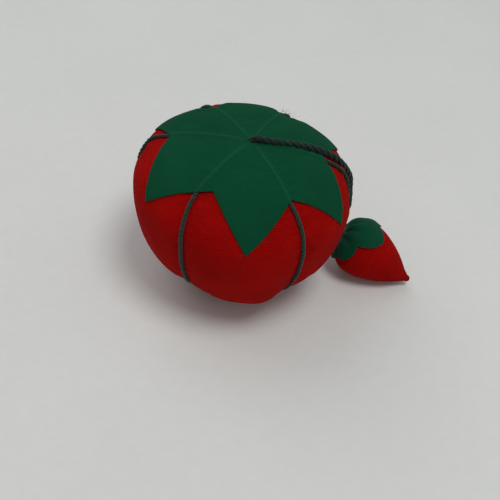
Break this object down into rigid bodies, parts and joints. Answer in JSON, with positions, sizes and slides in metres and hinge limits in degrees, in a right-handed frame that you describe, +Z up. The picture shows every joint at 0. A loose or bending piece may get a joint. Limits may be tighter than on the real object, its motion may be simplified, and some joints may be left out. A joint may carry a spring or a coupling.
{
  "type": "pin cushion",
  "caption": "Round stuffed cloth tomato laced into lobes, with a green star calyx and a small strawberry emery hanging on a cord.",
  "frame": {"origin": "on the tomato's own axis, in the plane that its base rests on", "axes": "+Z up along the tomato's axis; +X towards the side where the strawberry lies; -Y is the front"},
  "size_m": [0.1004, 0.0731, 0.0596],
  "materials": {
    "red_cotton": "plain woven cotton, matt, fine weave",
    "green_felt": "fine cotton cloth, matt, clean cut edge",
    "lacing_cord": "dark green twisted cotton cord, matt with pale fibres",
    "hanging_cord": "dark green twisted cotton cord, thick, matt",
    "sawdust": "packed sawdust",
    "emery": "packed emery grit",
    "thread": "red sewing thread"
  },
  "bodies": {
    "tomato": {"tomato_cover": "red_cotton", "tomato_filling": "sawdust", "cover_seam_thread": "thread", "cover_gather_top": "thread", "cover_gather_bottom": "thread", "segment_cord_front_left": "lacing_cord", "segment_cord_front_right": "lacing_cord", "segment_cord_right": "lacing_cord", "segment_cord_back_right": "lacing_cord", "segment_cord_back_left": "lacing_cord", "segment_cord_left": "lacing_cord", "segment_cord_core": "lacing_cord", "lacing_knot": "lacing_cord", "calyx": "green_felt", "hanging_cord_anchor": "hanging_cord"},
    "cord_top": {"hanging_cord_upper": "hanging_cord"},
    "cord_drop": {"hanging_cord_lower": "hanging_cord"},
    "cord_end": {"strawberry_knot": "hanging_cord"},
    "strawberry": {"strawberry_cover": "red_cotton", "strawberry_filling": "emery", "strawberry_seam_thread": "thread", "strawberry_gather_thread": "thread", "strawberry_cap": "green_felt"}
  },
  "joints": [
    {"name": "cord_turn", "type": "hinge", "parent": "tomato", "child": "cord_top", "pos_m": [0, 0, 0.056], "axis": [0, 0, 1], "range_deg": [0, 45]},
    {"name": "cord_lift", "type": "hinge", "parent": "cord_top", "child": "cord_drop", "pos_m": [0.03856, 0.01069, 0.035], "axis": [0.2672, -0.9636, 0], "range_deg": [0, 80]},
    {"name": "strawberry_twist", "type": "hinge", "parent": "cord_drop", "child": "cord_end", "pos_m": [0.03519, 0.00967, 0.01546], "axis": [0, 0, 1], "range_deg": [-35, 50]},
    {"name": "strawberry_tilt", "type": "hinge", "parent": "cord_end", "child": "strawberry", "pos_m": [0.03519, 0.00967, 0.01546], "axis": [-0.1771, -0.9842, 0], "range_deg": [0, 28]}
  ]
}
